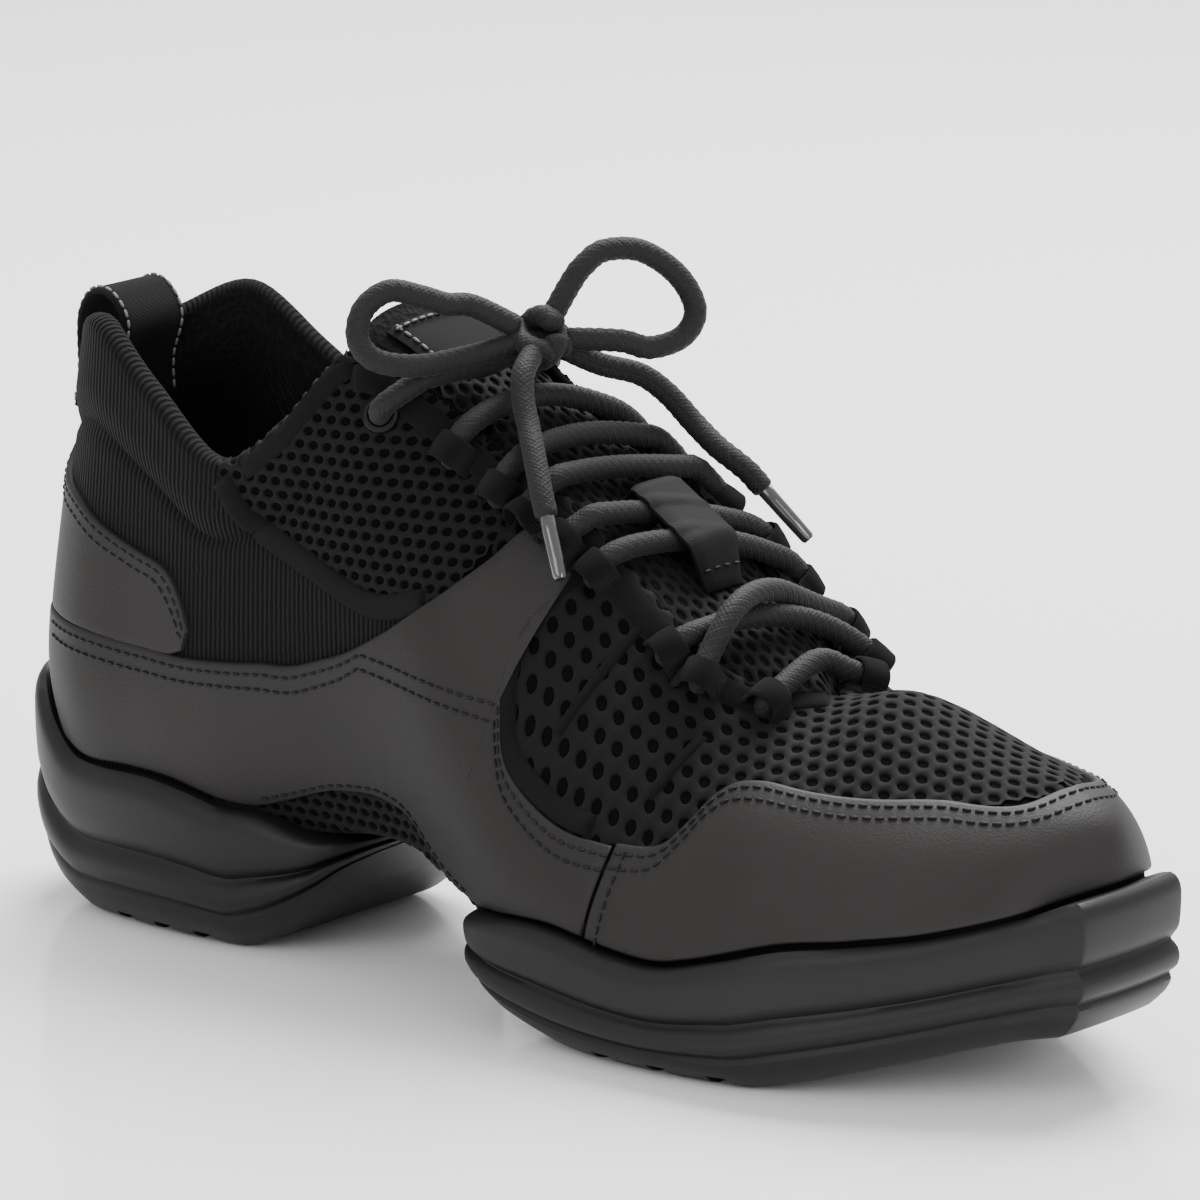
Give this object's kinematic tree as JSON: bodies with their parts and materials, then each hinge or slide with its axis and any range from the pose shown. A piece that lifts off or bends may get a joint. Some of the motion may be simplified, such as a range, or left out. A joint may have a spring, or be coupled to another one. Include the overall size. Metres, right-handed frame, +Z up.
{
  "type": "dance sneaker",
  "caption": "Black low dance sneaker with a split rubber sole, mesh upper under leather overlays, laces tied in a bow and a heel pull loop.",
  "frame": {"origin": "on the floor under the middle of the shoe's box, the bow of the laces not counted", "axes": "+X towards the toe, +Y towards the shoe's medial side, +Z up from the floor that both sole units stand on"},
  "size_m": [0.27, 0.0984, 0.145],
  "materials": {
    "mesh_textile": "open sports mesh and knit",
    "leather": "smooth matte",
    "sole_rubber": "satin moulded",
    "lace": "round braid",
    "webbing": "woven tape",
    "eyelet_plastic": "satin",
    "clear_tip": "clear film over the braid",
    "insole_foam": "textile over foam"
  },
  "bodies": {
    "root": {"upper": "mesh_textile", "outsole_heel": "sole_rubber", "outsole_forefoot": "sole_rubber", "insole": "insole_foam", "tongue": "mesh_textile", "toe_cap": "leather", "saddle_lateral": "leather", "saddle_medial": "leather", "heel_counter": "leather", "heel_foxing": "leather", "eyelet_lateral": "eyelet_plastic", "eyelet_medial": "eyelet_plastic", "heel_pull_loop": "webbing", "tongue_label": "leather", "lace_keeper": "leather", "lace_toe_bar": "lace", "lace_low_cross": "lace", "lace_keeper_upper": "lace", "lace_keeper_lower": "lace", "lace_high_upper": "lace", "lace_high_lower": "lace", "lace_top_cross": "lace", "lace_knot": "lace", "bow_loop_medial": "lace", "bow_loop_lateral": "lace", "lace_end_lateral": "lace", "lace_end_medial": "lace", "aglet_lateral": "clear_tip", "aglet_medial": "clear_tip"}
  },
  "joints": []
}
